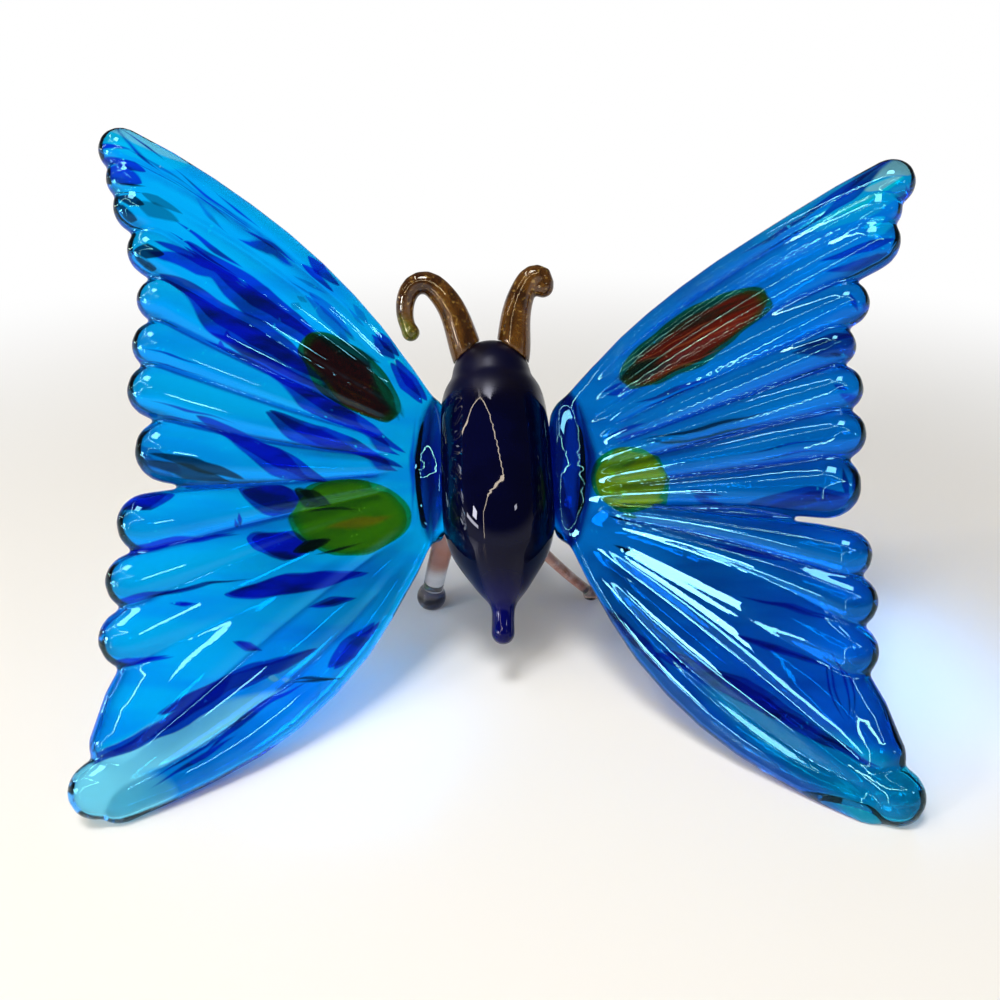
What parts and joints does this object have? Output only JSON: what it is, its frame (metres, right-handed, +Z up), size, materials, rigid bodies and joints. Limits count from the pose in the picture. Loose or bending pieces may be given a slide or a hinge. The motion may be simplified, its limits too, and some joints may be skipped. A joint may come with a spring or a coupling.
{
  "type": "butterfly ornament",
  "caption": "Free-standing butterfly figurine of fused coloured glass, with ribbed lobed wings, a dark tapered body, curled antennae and clear legs.",
  "frame": {"origin": "on the table, under the middle of the box of the whole butterfly", "axes": "+X to the butterfly's right across both wings, +Y forward to the head, +Z up"},
  "size_m": [0.0852, 0.0452, 0.0606],
  "materials": {
    "midnight_glass": "near-black cobalt glass, fire polished",
    "cobalt_glass": "deep cobalt glass, fire polished",
    "azure_glass": "azure glass with cobalt streaks, fire polished",
    "amber_glass": "amber-brown glass, fire polished",
    "red_brown_glass": "red-brown glass, fire polished",
    "green_glass": "leaf-green glass, fire polished",
    "clear_glass": "clear glass, fire polished"
  },
  "bodies": {
    "root": {"body": "midnight_glass", "head": "midnight_glass", "left_antenna": "amber_glass", "right_antenna": "amber_glass", "left_wing_root": "cobalt_glass", "right_wing_root": "cobalt_glass", "left_forewing": "azure_glass", "left_hindwing": "azure_glass", "right_forewing": "azure_glass", "right_hindwing": "azure_glass", "left_red_spot": "red_brown_glass", "right_red_spot": "red_brown_glass", "left_green_spot": "green_glass", "right_green_spot": "green_glass", "left_leg": "clear_glass", "right_leg": "clear_glass"}
  },
  "joints": []
}
